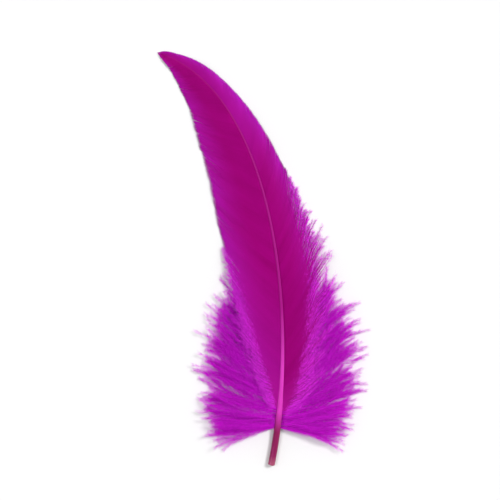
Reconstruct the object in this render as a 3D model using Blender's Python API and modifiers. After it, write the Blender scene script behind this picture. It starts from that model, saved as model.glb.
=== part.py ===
"""A dyed goose quill feather, lying on its hollow side.

The feather is one long curved shaft that branches: a wide vane on the inside
of the bend, a narrow vane on the outside, and a fan of downy locks on each
side just above the bare barrel of the quill.

Lengths in the constants are millimetres. The feather is laid out on a chord
that runs from the cut end of the quill at (0, 0) to the tip at (0, CHORD),
bowing towards +X, and an empty then centres it over the origin. A place on it
is given by its station, measured along the shaft from the cut end, and its
reach, measured square to the shaft.
"""
import math

import bmesh
import bpy
import numpy as np
from mathutils import Vector

MM = 0.001
OBJECT_NAME = "goose_quill_feather"

# Shaft: a cubic Bezier in plan (across, along), and a low arch in height.
CHORD = 170.0
SHAFT_CURVE = ((0.0, 0.0), (24.7, 48.7), (41.3, 141.5), (0.0, CHORD))
SHAFT_SAMPLES = 600
ARCH_HEIGHT = 5.4
ARCH_START = 8.0
ARCH_POWER = 1.2
SHAFT_RADII = (
    (0.0, 1.40), (16.0, 1.30), (30.0, 1.02), (45.0, 0.82), (90.0, 0.56), (140.0, 0.32), (182.0, 0.14))
RACHIS_END = 177.0
SHAFT_SIDES = 12
SHAFT_CORNER_ANGLE = 50.0

# Barrel: the bare stretch of the shaft, and the hollow that shows in its cut end.
BARREL_LENGTH = 16.0
BARREL_RINGS = 5
RACHIS_RINGS = 42
BORE_RADIUS = 0.95
BORE_END_RADIUS = 0.55
BORE_DEPTH = 9.0
BORE_OVERSHOOT = 1.0

# Vanes: reach of the edge at stations along the shaft, past the rachis to a narrow, rounded tip.
WIDE_EDGE = (
    (24.0, 4.0), (32.0, 8.0), (40.0, 11.0), (55.0, 15.0), (80.0, 19.6), (115.0, 20.0),
    (145.0, 15.5), (157.0, 12.0), (167.0, 8.4), (175.0, 4.4), (181.0, 1.3))
NARROW_EDGE = (
    (22.0, 5.5), (28.0, 8.6), (37.0, 10.8), (55.0, 12.9), (80.0, 14.4), (115.0, 11.2),
    (145.0, 7.4), (157.0, 6.0), (167.0, 4.6), (175.0, 2.8), (181.0, 1.1))
# A barb that reaches w runs (first + second * w) * w towards the tip.
WIDE_SWEEP = (0.80, 0.022)
NARROW_SWEEP = (1.15, 0.030)
# The barbs at the base stand out more squarely, with this share of the sweep.
BASE_SWEEP = 0.30
FULL_SWEEP_STATION = 65.0
VANE_THICKNESS = 0.42
VANE_COLUMNS = 74
VANE_ROWS = 4
RIDGE_HEIGHT = 0.09
EDGE_STEP = 0.25
SHORTEST_BARB = 0.1
EDGE_CLEARANCE = 0.06
# A split: its station, and how far in from the edge it opens, as a share of the barb.
SPLIT_HALF_WIDTH = 0.55
WIDE_SPLITS = ((57.0, 0.35), (104.0, 0.60), (150.0, 0.45))
NARROW_SPLITS = ((66.0, 0.50), (127.0, 0.40))
# A vane leaves the shaft above its middle, by this share of the shaft's radius, and droops
# from there to the surface. Over the down at the base its edge stays up.
VANE_SEAT = 0.55
DROOP_POWER = 1.6
LIFT_STATIONS = (56.0, 98.0)
BASE_DROOP = 0.10

# Down: tapered locks that fan out from the shaft above the barrel, the upper ones under a vane.
LOCKS_PER_SIDE = 26
LOCK_POINTS = 6
LOCK_SIDES = 6
LOCK_RADIUS = 1.15
LOCK_ROOT_RADIUS = 0.80
LOCK_TIP_RADIUS = 0.14
LOCK_SWELL_SHARE = 5 / 7
LOCK_TAPER_POWER = 2.5
UNDER_VANE_FULLNESS = 0.90
LOCK_LENGTHS = (15.0, 34.0)
# Shares of half a wave that the first lock's length takes, and that the others add to it.
LOCK_LENGTH_SWELL = (0.15, 0.50)
LOCK_LENGTH_CHANGE = 1.6
LOCK_LENGTH_RHYTHM = 2.4
LOCK_BEND = 16.0
LOCK_BEND_RHYTHM = 1.7
LOCK_BEND_START = 0.5
LOCK_LAYERS = 3
# Directions of the lowest and the highest lock, in degrees from the shaft.
WIDE_SIDE_FAN = (104.0, 42.0)
NARROW_SIDE_FAN = (88.0, 36.0)
FAN_POWER = 0.85
# The locks stand closest together at the barrel, and lie in the open up to the first share.
DOWN_STATIONS = (15.0, 50.0)
STATION_POWER = 1.3
OPEN_AIR_SHARES = (0.12, 0.34)
# Heights of a lock's root, middle and tip: under a vane, and what is added in the open, for
# each layer, and for each layer in the open.
LOCK_HEIGHTS = ((1.0, 0.0, 0.0, 0.25), (1.15, 0.8, 0.45, 2.75), (0.55, 0.0, 0.6, 1.9))

# Neighbouring pieces stand this far apart.
VANE_GAP = 0.2
DOWN_GAP = 0.3

# The middle of the finished outline, in the chord's own frame.
OUTLINE_MIDDLE = (14.1, 84.9)

WELD_DISTANCE = 0.001
QUILL_COLOUR = (0.45, 0.020, 0.16, 1.0)
VANE_COLOUR = (0.36, 0.003, 0.20, 1.0)
DOWN_COLOUR = (0.50, 0.010, 0.50, 1.0)


def smooth_table(table, x):
    """Cubic through a table of (position, value) pairs, with no corners at its rows."""
    xs, ys = np.array(table).T
    slopes = np.gradient(ys, xs)
    x = np.clip(x, xs[0], xs[-1])
    i = np.clip(np.searchsorted(xs, x) - 1, 0, len(xs) - 2)
    h = xs[i + 1] - xs[i]
    t = (x - xs[i]) / h
    start = (1 + 2 * t) * (1 - t) ** 2 * ys[i] + t * (1 - t) ** 2 * h * slopes[i]
    end = t**2 * (3 - 2 * t) * ys[i + 1] + t**2 * (t - 1) * h * slopes[i + 1]
    return start + end


def smooth_step(low, high, x):
    t = np.clip((x - low) / (high - low), 0.0, 1.0)
    return t * t * (3 - 2 * t)


def shaft_samples():
    """Plan points, unit tangents and stations along the shaft's Bezier."""
    t = np.linspace(0.0, 1.0, SHAFT_SAMPLES)[:, None]
    p0, p1, p2, p3 = (np.array(p) for p in SHAFT_CURVE)
    points = (1 - t) ** 3 * p0 + 3 * (1 - t) ** 2 * t * p1 + 3 * (1 - t) * t**2 * p2 + t**3 * p3
    steps = np.linalg.norm(np.diff(points, axis=0), axis=1)
    stations = np.concatenate(([0.0], np.cumsum(steps)))
    tangents = np.gradient(points, stations, axis=0)
    tangents /= np.linalg.norm(tangents, axis=1)[:, None]
    return points, tangents, stations


SHAFT_POINTS, SHAFT_TANGENTS, SHAFT_STATIONS = shaft_samples()
SHAFT_LENGTH = float(SHAFT_STATIONS[-1])


def shaft_point(station):
    return np.array([np.interp(station, SHAFT_STATIONS, SHAFT_POINTS[:, k]) for k in (0, 1)])


def shaft_tangent(station):
    return np.array([np.interp(station, SHAFT_STATIONS, SHAFT_TANGENTS[:, k]) for k in (0, 1)])


def shaft_radius(station):
    return float(smooth_table(SHAFT_RADII, station))


def shaft_height(station):
    """Height of the shaft's middle: flat under the barrel, then a low arch down to the tip."""
    flat_to_middle = math.cos(math.pi / SHAFT_SIDES)
    t = np.clip((station - ARCH_START) / (SHAFT_LENGTH - ARCH_START), 0.0, 1.0)
    peak = ARCH_POWER / (ARCH_POWER + 1)
    arch = t**ARCH_POWER * (1 - t) / (peak**ARCH_POWER * (1 - peak))
    return shaft_radius(station) * flat_to_middle + ARCH_HEIGHT * arch


def place(station, reach, height):
    """A world point from its station, its reach (+ to the narrow side) and its height."""
    x, y = shaft_point(station)
    along = shaft_tangent(station)
    return Vector((x + along[1] * reach, y - along[0] * reach, height)) * MM


class Vane:
    """One vane: its side of the shaft, its edge, the sweep of its barbs and its splits."""

    def __init__(self, name, side, edge, sweep, splits):
        self.name = name
        self.side = side
        self.edge = edge
        self.sweep = sweep
        self.splits = splits

    def drift(self, reach):
        """How far a barb has run towards the tip where it has reached this far out."""
        return (self.sweep[0] + self.sweep[1] * reach) * reach

    def run(self, tip_station):
        """How far the whole barb that ends at this station has run towards the tip."""
        full = smooth_step(self.edge[0][0], FULL_SWEEP_STATION, tip_station)
        swing = BASE_SWEEP + (1 - BASE_SWEEP) * full
        return swing * self.drift(smooth_table(self.edge, tip_station))

    def columns(self):
        """Tip station and length share of each barb bundle, with three close ones at a split."""
        first, last = self.edge[0][0], self.edge[-1][0]
        columns = [(station, 1.0) for station in np.linspace(first, last, VANE_COLUMNS)]
        room = (last - first) / VANE_COLUMNS
        for station, depth in self.splits:
            columns = [column for column in columns if abs(column[0] - station) > room]
            columns.append((station - SPLIT_HALF_WIDTH, 1.0))
            columns.append((station, 1.0 - depth))
            columns.append((station + SPLIT_HALF_WIDTH, 1.0))
        return sorted(columns)

    def point(self, tip_station, length_share, along_barb, ridge):
        """A point of the vane, along_barb from the shaft (0) to the barb's end (1)."""
        whole = smooth_table(self.edge, tip_station)
        run = self.run(tip_station)
        root = shaft_radius(tip_station - run) + VANE_GAP
        reach_out = max(whole * length_share - EDGE_STEP * (ridge < 0), root + SHORTEST_BARB)
        reach = root + (reach_out - root) * along_barb
        station = tip_station - run * (1 - self.drift(reach) / self.drift(whole))
        top = shaft_height(station) + VANE_SEAT * shaft_radius(station)
        droop = BASE_DROOP + (1 - BASE_DROOP) * smooth_step(*LIFT_STATIONS, station)
        floor = VANE_THICKNESS / 2 + RIDGE_HEIGHT + EDGE_CLEARANCE
        fall = (top - floor) * droop * min(reach / whole, 1.0) ** DROOP_POWER
        height = top - fall + ridge * RIDGE_HEIGHT
        return place(station, self.side * reach, max(height, floor))


WIDE_VANE = Vane("wide_vane", -1, WIDE_EDGE, WIDE_SWEEP, WIDE_SPLITS)
NARROW_VANE = Vane("narrow_vane", 1, NARROW_EDGE, NARROW_SWEEP, NARROW_SPLITS)


def clear_scene():
    for found in list(bpy.data.objects):
        bpy.data.objects.remove(found, do_unlink=True)


def new_collection(name, hidden=False):
    collection = bpy.data.collections.new(name)
    collection.hide_render = hidden
    bpy.context.scene.collection.children.link(collection)
    return collection


def new_material(name, colour, roughness):
    material = bpy.data.materials.new(name)
    material.use_nodes = True
    shader = material.node_tree.nodes["Principled BSDF"]
    shader.inputs["Base Color"].default_value = colour
    shader.inputs["Roughness"].default_value = roughness
    shader.inputs["Metallic"].default_value = 0.0
    material.diffuse_color = colour
    return material


def link_object(name, data, collection, parent=None):
    thing = bpy.data.objects.new(name, data)
    collection.objects.link(thing)
    thing.parent = parent
    return thing


def tapered_curve(points, radii, sides):
    """A filled tube along points, its radius given at each one, with a flat side downwards."""
    curve = bpy.data.curves.new("tube", "CURVE")
    curve.dimensions = "3D"
    curve.twist_mode = "Z_UP"
    curve.bevel_depth = 1.0
    curve.bevel_resolution = (sides - 4) // 2
    curve.use_fill_caps = True
    spline = curve.splines.new("POLY")
    spline.points.add(len(points) - 1)
    for target, point, radius in zip(spline.points, points, radii):
        target.co = (*point, 1.0)
        target.radius = radius
        target.tilt = math.pi / sides
    return curve


def curve_to_mesh(name, curve, collection):
    """Turns a tube into a closed mesh object, its caps welded on."""
    source = link_object(name + "_curve", curve, collection)
    depsgraph = bpy.context.evaluated_depsgraph_get()
    mesh = bpy.data.meshes.new_from_object(source.evaluated_get(depsgraph))
    bm = bmesh.new()
    bm.from_mesh(mesh)
    bmesh.ops.remove_doubles(bm, verts=bm.verts, dist=WELD_DISTANCE * MM)
    bmesh.ops.recalc_face_normals(bm, faces=bm.faces)
    bm.to_mesh(mesh)
    bm.free()
    solid = link_object(name, mesh, collection)
    solid.matrix_world = source.matrix_world
    bpy.data.objects.remove(source, do_unlink=True)
    return solid


def hide_helper(helper):
    helper.hide_render = True
    helper.display_type = "WIRE"


def make_bore(cutters, parent):
    """The tapering hollow in the cut end, on the line through the barrel's first stretch."""
    start = place(0.0, 0.0, shaft_height(0.0))
    end = place(BORE_DEPTH, 0.0, shaft_height(BORE_DEPTH))
    along = (end - start).normalized()
    length = (BORE_DEPTH + BORE_OVERSHOOT) * MM
    bpy.ops.mesh.primitive_cone_add(
        vertices=SHAFT_SIDES, radius1=BORE_RADIUS * MM, radius2=BORE_END_RADIUS * MM, depth=length)
    bore = bpy.context.object
    bore.name = "barrel_bore"
    for owner in list(bore.users_collection):
        owner.objects.unlink(bore)
    cutters.objects.link(bore)
    bore.parent = parent
    bore.location = start + along * (length / 2 - BORE_OVERSHOOT * MM)
    bore.rotation_euler = along.to_track_quat("Z", "Y").to_euler()
    hide_helper(bore)
    return bore


def make_quill(parts, cutters, parent):
    """The whole shaft: a hollow round barrel that thins into the rachis."""
    barrel = np.linspace(0.0, BARREL_LENGTH, BARREL_RINGS)[:-1]
    rachis = np.linspace(BARREL_LENGTH, RACHIS_END, RACHIS_RINGS)
    stations = np.concatenate((barrel, rachis))
    points = [place(station, 0.0, shaft_height(station)) for station in stations]
    radii = [shaft_radius(station) * MM for station in stations]
    quill = curve_to_mesh("quill", tapered_curve(points, radii, SHAFT_SIDES), parts)
    quill.parent = parent
    quill.data.materials.append(new_material("quill_horn", QUILL_COLOUR, 0.28))
    quill.data.shade_smooth()
    quill.data.set_sharp_from_angle(angle=math.radians(SHAFT_CORNER_ANGLE))
    cut = quill.modifiers.new("hollow_barrel", "BOOLEAN")
    cut.operation = "DIFFERENCE"
    cut.solver = "EXACT"
    cut.object = make_bore(cutters, parent)
    return quill


def make_vane(vane, parts, parent):
    """A vane: a grid whose columns are bundles of barbs, bent to shape and given its thickness."""
    columns = vane.columns()
    bm = bmesh.new()
    bmesh.ops.create_grid(bm, x_segments=len(columns) - 1, y_segments=VANE_ROWS, size=0.5)
    for vertex in bm.verts:
        column = round((vertex.co.x + 0.5) * (len(columns) - 1))
        tip_station, length_share = columns[column]
        ridge = 1 if column % 2 == 0 else -1
        vertex.co = vane.point(tip_station, length_share, vertex.co.y + 0.5, ridge)
    if vane.side < 0:
        bmesh.ops.reverse_faces(bm, faces=bm.faces)
    mesh = bpy.data.meshes.new(vane.name)
    bm.to_mesh(mesh)
    bm.free()
    piece = link_object(vane.name, mesh, parts, parent)
    mesh.materials.append(new_material(vane.name + "_barbs", VANE_COLOUR, 0.7))
    thicken = piece.modifiers.new("thickness", "SOLIDIFY")
    thicken.thickness = VANE_THICKNESS * MM
    thicken.offset = 0.0
    return piece


def lock_open_air(order):
    """1 for the lowest locks, which lie in the open, and 0 for those that start under a vane."""
    return 1.0 - smooth_step(*OPEN_AIR_SHARES, order / (LOCKS_PER_SIDE - 1))


def lock_length(order):
    """The locks are longest halfway up the fan, and each differs a little from the next."""
    shortest, longest = LOCK_LENGTHS
    first, rest = LOCK_LENGTH_SWELL
    fullness = math.sin(math.pi * (first + rest * order / (LOCKS_PER_SIDE - 1)))
    change = LOCK_LENGTH_CHANGE * math.sin(LOCK_LENGTH_RHYTHM * order)
    return shortest + (longest - shortest) * fullness + change


def lock_corners(side, fan, order):
    """Plan points of one lock's root, middle and tip, the outer half turned by its bend."""
    share = order / (LOCKS_PER_SIDE - 1)
    station = DOWN_STATIONS[0] + (DOWN_STATIONS[1] - DOWN_STATIONS[0]) * share**STATION_POWER
    angle = math.radians(fan[0] + (fan[1] - fan[0]) * share**FAN_POWER)
    bend = math.radians(LOCK_BEND * math.sin(LOCK_BEND_RHYTHM * order + LOCK_BEND_START))
    tangent = shaft_tangent(station)
    outward = np.array([tangent[1], -tangent[0]]) * side
    root_reach = shaft_radius(station) + DOWN_GAP + LOCK_ROOT_RADIUS * abs(math.cos(angle))
    root = shaft_point(station) + outward * root_reach
    early = math.cos(angle) * tangent + math.sin(angle) * outward
    late = math.cos(angle + bend) * tangent + math.sin(angle + bend) * outward
    length = lock_length(order)
    return root, root + 0.5 * length * early, root + length * late


def lock_path(side, fan, order):
    """Points of one lock, in millimetres: a bent line from the shaft's side to a tip.

    The locks fan out in layers. In the open the upper layers arch up, and under the vanes they
    all lie low.
    """
    open_air = lock_open_air(order)
    layer = order % LOCK_LAYERS
    corners = []
    for plan, (low, lifted, layered, layered_open) in zip(lock_corners(side, fan, order), LOCK_HEIGHTS):
        height = low + lifted * open_air + layer * (layered + layered_open * open_air)
        corners.append(np.array([*plan, height]))
    p0, p1, p2 = corners
    t = np.linspace(0.0, 1.0, LOCK_POINTS)[:, None]
    return (1 - t) ** 2 * p0 + 2 * t * (1 - t) * p1 + t**2 * p2


def lock_radii(order):
    """Thickness along a lock: swelling from its root, then drawn out to a fine tip."""
    t = np.linspace(0.0, 1.0, LOCK_POINTS)
    fullest = LOCK_RADIUS * (UNDER_VANE_FULLNESS + (1 - UNDER_VANE_FULLNESS) * lock_open_air(order))
    swell = np.sin(np.pi * np.minimum(t / LOCK_SWELL_SHARE, 1.0))
    taper = t**LOCK_TAPER_POWER
    return (LOCK_ROOT_RADIUS + (fullest - LOCK_ROOT_RADIUS) * swell) * (1 - taper) + LOCK_TIP_RADIUS * taper


def make_down(name, side, fan, parts, parent):
    """One side's down: every lock is a tapered tube, and a union joins them where roots meet."""
    helpers = new_collection(name + "_locks", hidden=True)
    locks = []
    for order in range(LOCKS_PER_SIDE):
        points = [Vector(point) * MM for point in lock_path(side, fan, order)]
        radii = [float(radius) * MM for radius in lock_radii(order)]
        curve = tapered_curve(points, radii, LOCK_SIDES)
        locks.append(curve_to_mesh(f"{name}_lock_{order}", curve, helpers))
    down = link_object(name, locks[0].data, parts, parent)
    down.data.materials.append(new_material(name + "_fluff", DOWN_COLOUR, 0.85))
    bpy.data.objects.remove(locks[0], do_unlink=True)
    for lock in locks[1:]:
        lock.parent = parent
        hide_helper(lock)
    join = down.modifiers.new("join_locks", "BOOLEAN")
    join.operation = "UNION"
    join.solver = "EXACT"
    join.operand_type = "COLLECTION"
    join.collection = helpers
    return down


def build():
    clear_scene()
    parts = new_collection(OBJECT_NAME)
    cutters = new_collection("cutters", hidden=True)
    middle = link_object("feather_middle", None, parts)
    middle.location = (-OUTLINE_MIDDLE[0] * MM, -OUTLINE_MIDDLE[1] * MM, 0.0)
    make_quill(parts, cutters, middle)
    make_vane(WIDE_VANE, parts, middle)
    make_vane(NARROW_VANE, parts, middle)
    make_down("wide_side_down", -1, WIDE_SIDE_FAN, parts, middle)
    make_down("narrow_side_down", 1, NARROW_SIDE_FAN, parts, middle)


build()
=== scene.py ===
"""A dyed goose quill feather, lying on its hollow side on a pale surface.

The shaft, the separate barbs of both vanes and the down at the base are surfaces worked out with
numpy. Lengths in the constants are millimetres, and angles are degrees. A place on the feather is
given by its station, measured along the shaft from the cut end of the quill, its reach, measured
square to the shaft, and its height above the surface.
"""
import math

import bpy
import numpy as np
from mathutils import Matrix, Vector


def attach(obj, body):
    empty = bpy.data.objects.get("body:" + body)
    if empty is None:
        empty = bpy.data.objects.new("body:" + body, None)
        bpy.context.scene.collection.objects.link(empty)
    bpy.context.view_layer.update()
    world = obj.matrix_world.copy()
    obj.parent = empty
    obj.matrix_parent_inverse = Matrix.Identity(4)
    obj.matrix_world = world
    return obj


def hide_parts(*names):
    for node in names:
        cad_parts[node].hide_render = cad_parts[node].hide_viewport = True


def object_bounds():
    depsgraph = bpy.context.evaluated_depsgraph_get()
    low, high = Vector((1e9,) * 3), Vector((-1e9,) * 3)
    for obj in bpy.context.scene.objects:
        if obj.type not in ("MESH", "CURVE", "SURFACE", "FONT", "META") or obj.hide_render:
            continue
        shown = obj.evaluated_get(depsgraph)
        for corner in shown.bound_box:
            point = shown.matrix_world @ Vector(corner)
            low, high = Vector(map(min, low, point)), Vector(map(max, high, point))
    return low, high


bl_info = {
    "name": "Goose Quill Feather",
    "version": (1, 0, 0),
    "blender": (4, 5, 0),
    "location": "View3D > Sidebar > Feather",
    "description": "Makes a dyed goose quill feather from its shaft, its barbs and its down",
    "category": "Add Mesh",
}

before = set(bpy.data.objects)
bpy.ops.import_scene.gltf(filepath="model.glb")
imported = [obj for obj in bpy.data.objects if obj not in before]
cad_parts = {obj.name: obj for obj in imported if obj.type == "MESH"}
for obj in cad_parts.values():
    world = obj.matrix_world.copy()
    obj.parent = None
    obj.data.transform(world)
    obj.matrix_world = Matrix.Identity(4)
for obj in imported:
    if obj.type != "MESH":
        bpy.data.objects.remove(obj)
FRAME_LOW, FRAME_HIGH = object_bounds()

MM = 0.001

# The shaft: a cubic Bezier in plan (across, along) on its chord, with a low arch in height.
CHORD = 170.0
SHAFT_CURVE = ((0.0, 0.0), (24.7, 48.7), (41.3, 141.5), (0.0, CHORD))
SHAFT_SAMPLES = 600
OUTLINE_MIDDLE = (14.1, 84.9)
ARCH_HEIGHT = 5.4
ARCH_START = 8.0
ARCH_POWER = 1.2
SHAFT_RADII = (
    (0.0, 1.40), (16.0, 1.30), (30.0, 1.02), (45.0, 0.82), (90.0, 0.56), (140.0, 0.32), (182.0, 0.14))
# The barrel is sunk as far as the flat of a twelve-sided one.
SEAT_SHARE = math.cos(math.pi / 12)
SHAFT_SIDES = 36
BARREL_START = 0.04
BARREL_LENGTH = 16.0
BARREL_RINGS = 70
RACHIS_START = BARREL_LENGTH + 0.3
RACHIS_RINGS = 200
# The rachis loses this share of its radius over its last few millimetres, and ends in a point.
RACHIS_END = 181.0
RACHIS_THINNING = 3.0
RACHIS_THINNED = 0.75
RACHIS_POINT = (RACHIS_END + 0.15, 0.01)
# The hollow of the barrel, and the stations and radii of the rounded rim at the cut.
BORE_RADIUS = 0.98
BORE_END_RADIUS = 0.50
BORE_DEPTH = 9.0
BORE_RINGS = 24
BORE_POINT = (BORE_DEPTH + 0.25, 0.02)
RIM = ((-0.06, BORE_RADIUS + 0.08), (-0.07, SHAFT_RADII[0][1] - 0.10), (-0.02, SHAFT_RADII[0][1] - 0.03))
# Towards the rachis the section turns from round to a rounded square with a groove below.
SQUARE_STATIONS = (16.0, 60.0)
SQUARE_POWER_LOSS = 0.30
SQUARE_NARROWING = 0.08
SQUARE_HEIGHTENING = 0.10
GROOVE_DEPTH = 0.30
GROOVE_WIDTH = 0.35
# The horn's grain winds along the shaft in low ridges, and the shaft swells a little here and there.
GRAIN_RIDGES = 9
GRAIN_DEPTH = 0.005
GRAIN_WINDING = 2.0
GRAIN_RHYTHM = 0.21
SWELLS = 60
SWELL_STATIONS = (-1.0, 185.0)
SWELL_SIZE = 0.004
# The cut is ragged, with this many teeth round it.
RAGGED_TEETH = 3
RAGGED_TURN = 0.7
RAGGED_DEPTH = 0.10
RAGGED_REACH = 0.5

# The vanes: reach of the edge at stations along the shaft, and the drift of a barb towards the tip.
WIDE_EDGE = (
    (24.0, 4.0), (32.0, 8.0), (40.0, 11.0), (55.0, 15.0), (80.0, 19.6), (115.0, 20.0), (145.0, 15.5),
    (157.0, 12.0), (167.0, 8.4), (175.0, 4.4), (181.0, 1.3), (182.6, 0.05))
NARROW_EDGE = (
    (22.0, 5.5), (28.0, 8.6), (37.0, 10.8), (55.0, 12.9), (80.0, 14.4), (115.0, 11.2), (145.0, 7.4),
    (157.0, 6.0), (167.0, 4.6), (175.0, 2.8), (181.0, 1.1), (182.6, 0.05))
WIDE_SWEEP = (0.80, 0.022)
NARROW_SWEEP = (1.15, 0.030)
BASE_SWEEP = 0.30
FULL_SWEEP_STATION = 65.0
# The last barbs all leave the shaft here, and close the tip with their ends.
LAST_ROOT = 178.3
# A barb starts inside the shaft, at this share of its radius or of the barb's own length.
ROOT_IN_SHAFT = 0.45
ROOT_MOST = 0.3
# Barbs leave the shaft this share of its radius above its middle, past the first few millimetres.
VANE_SEAT = 0.55
SEAT_STATIONS = (-4.0, 8.0)
# They droop from there to the edge, little at the base, and the edge never gets lower than this.
DROOP_POWER = 1.6
LIFT_STATIONS = (56.0, 98.0)
BASE_DROOP = 0.10
VANE_FLOOR = 0.36
LOWEST_BARB = 0.05
# The vane's face rises and falls along it in waves of these lengths and sizes.
VANE_WAVES = ((31.0, 0.22), (13.0, 0.11), (5.3, 0.055), (2.3, 0.025))
# Clumps of barbs: how many barbs, how far they close up, and how much they differ.
CLUMP_SIZES = (3, 15)
CLUMP_PULL = 0.05
CLUMP_START = 0.5
CLUMP_LENGTH_CHANGE = 0.010
CLUMP_LIFT = 0.05
CLUMP_TONE = 0.65
# Single barbs differ from their clump. Barbs up to a distance past the first are loose.
LOOSE_SPAN = 30.0
BARB_LENGTH_CHANGE = 0.006
LOOSE_LENGTH_CHANGE = 0.10
LOOSE_LIFT = 0.35
BARB_WANDER = 0.04
LOOSE_WANDER = 0.8
WANDER_POWER = 2.5
# A split: its station, how far in from the edge it opens (share of the barb), its width there.
WIDE_SPLITS = ((57.0, 0.35, 0.8), (104.0, 0.40, 0.4), (150.0, 0.30, 0.3))
NARROW_SPLITS = ((66.0, 0.50, 0.9), (127.0, 0.40, 0.4))
SPLIT_FADE = 3.0
# Strays end past the vane's edge. They grow fewer between two distances past the first barb. Then
# come the longest one's share of its barb, and the lowest number that one is drawn from: a number
# below 0 is no stray. Past the edge they run this far towards the tip for each step outwards.
WIDE_STRAYS = ((12.0, 74.0), 0.45, -1.2)
NARROW_STRAYS = ((38.0, 100.0), 0.66, -0.15)
STRAY_POWER = 1.3
STRAY_SLOPE = 1.0
# The end of each barb curls this far towards the tip, over the ends of the next ones, and less so
# between two stations near the tip.
END_CURL = 1.3
CURL_START = 0.70
CURL_FADE = 0.75
CURL_FADE_STATIONS = (166.0, 178.0)
# How far the barbs turn to violet at stations along the shaft, besides the edge's own violet: partly
# the dye, and partly a painted highlight where bands of the vane catch the light.
WIDE_VIOLET_AND_HIGHLIGHT = ((24.0, 0.10), (50.0, 0.32), (80.0, 0.15), (110.0, -0.05), (181.0, -0.12))
NARROW_VIOLET_AND_HIGHLIGHT = ((22.0, 0.05), (100.0, -0.02), (128.0, 0.02), (148.0, 0.35), (181.0, 0.15))
LOOSE_VIOLET = 0.12

WIDE_VANE = {
    "side": -1, "edge": WIDE_EDGE, "sweep": WIDE_SWEEP, "splits": WIDE_SPLITS, "strays": WIDE_STRAYS,
    "violet_and_highlight": WIDE_VIOLET_AND_HIGHLIGHT, "seed": 11}
NARROW_VANE = {
    "side": 1, "edge": NARROW_EDGE, "sweep": NARROW_SWEEP, "splits": NARROW_SPLITS,
    "strays": NARROW_STRAYS, "violet_and_highlight": NARROW_VIOLET_AND_HIGHLIGHT, "seed": 12}

# A barb's section has four corners: two flat ones that lap over the next barbs, one above and one
# below. Barbs thin towards their ends, and taper from a share of their length, strays sooner.
BARB_POINTS = 17
BARB_HALF_WIDTH = 0.62
BARB_CORNERS_ACROSS = (-1.0, 0.0, 1.0, 0.0)
BARB_CORNERS_UPRIGHT = (-0.22, 0.5, 0.22, -0.5)
BARB_THICKNESSES = (1.15, 0.55)
BARB_TAPER_START = 0.93
STRAY_TAPER_CHANGE = 0.45
BARB_TAPER = 0.80

# Fluff on the vanes: its share of the way that strays go, and how it crowds to the first barbs.
FLUFFY_SHARE = 0.89
FRINGE_CROWDING = 1.4
# A barb's bare part: its share on the first barb, how it grows, how it varies and its limits.
BARE_SHARE = 0.14
BARE_GROWTH = 0.72
BARE_CHANGE = 0.07
BARE_LIMITS = (0.10, 0.95)
FRINGE_SLANTS = (16.0, 46.0)
FRINGE_LENGTHS = (0.4, 1.0)
FRINGE_SHORTENING = 0.5

# Barbules are needles with a knee. Past it they turn towards the end of their barb or thread.
KNEE = 0.45
FRINGE_STEP = 0.03
FRINGE_TURN = 0.6
FRINGE_SCATTER = (0.10, 0.15)
BARBULE_TURN = 0.7
BARBULE_SCATTER = 0.18
LOWEST_FLUFF = 0.04
NEEDLE_CORNERS = 5
TRIANGLE = np.radians((90.0, 210.0, 330.0))

# The down: locks that fan out from the shaft just above the barrel, numbered from the base. Each
# thread has a share, 0 for the lowest and 1 for the highest, that sets its station and its angle.
LOCKS_PER_SIDE = 26
LOWER_LOCKS = 13
LOCK_JITTER = 0.9
DOWN_STATIONS = (15.0, 50.0)
STATION_POWER = 1.3
WIDE_SIDE_FAN = (104.0, 42.0)
NARROW_SIDE_FAN = (88.0, 41.0)
FAN_POWER = 0.85
# Lock by lock, lengths and bends change in a rhythm.
LOCK_LENGTHS = (15.5, 34.6)
LOCK_LENGTH_SWELL = (0.15, 0.50)
LOCK_LENGTH_CHANGE = 1.6
LOCK_LENGTH_RHYTHM = 2.4
LOCK_BEND = 6.4
LOCK_BEND_RHYTHM = 1.7
LOCK_BEND_START = 0.5
# Thread by thread, they differ at random, within a limit.
THREAD_LENGTHS = (0.82, 1.03)
THREAD_SPREAD = 5.0
THREAD_BEND = 10.0
SPREAD_LIMIT = 1.6
# The lowest shares lie in open air and the rest under the vane, where they bend towards the tip.
OPEN_AIR_SHARES = (0.12, 0.34)
OPEN_AIR_SPREAD = 1.0
OPEN_AIR_STRAIGHTER = 0.45
UPWARD_BEND = 10.0
# The locks lie in layers. These set the heights of a thread's root, middle and end.
LOCK_LAYERS = 3
LAYER_JITTER = 0.9
LAYER_LIMITS = (-0.4, 2.2)
ROOT_REACH = 0.7
ROOT_RISES = (-0.6, 0.3)
MIDDLE_HEIGHT = 1.15
MIDDLE_IN_OPEN_AIR = (0.8, 2.6)
MIDDLE_UNDER_VANE = (0.08, 0.20)
ROOM_AT = 0.4
END_HEIGHT = 0.6
END_LAYER = 0.6
END_LAYER_IN_OPEN_AIR = 1.5
# A thread waves along, across and upwards. Its radius falls from the sum of these to the second.
WAVE_TURNS = 1.3
WAVE_SIZES = (0.45, 0.45, 0.315)
THREAD_POINTS = 13
THREAD_RADII = (0.075, 0.012)
THREAD_TAPER = 0.8
TANGENT_STEP = 0.02
# Barbules crowd to the thread's end, more so under the vane. There they lie flat near the shaft
# and roll out of the thread's plane between two shares of the thread.
BARBULE_POWER = 0.74
BARBULE_POWER_LOSS = 0.20
BARBULE_JITTER = 0.01
BARBULE_SLANTS = (10.0, 40.0)
BARBULE_ROLL = 36.0
FLAT_ROLL = 0.25
ROLL_SHARES = (0.35, 0.7)
BARBULE_LENGTHS = (0.6, 1.2)
BARBULE_SHORTEST = 0.35
BARBULE_SWELL = (0.12, 0.74)
DOWN_LOCK_TONE = 0.6

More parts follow.
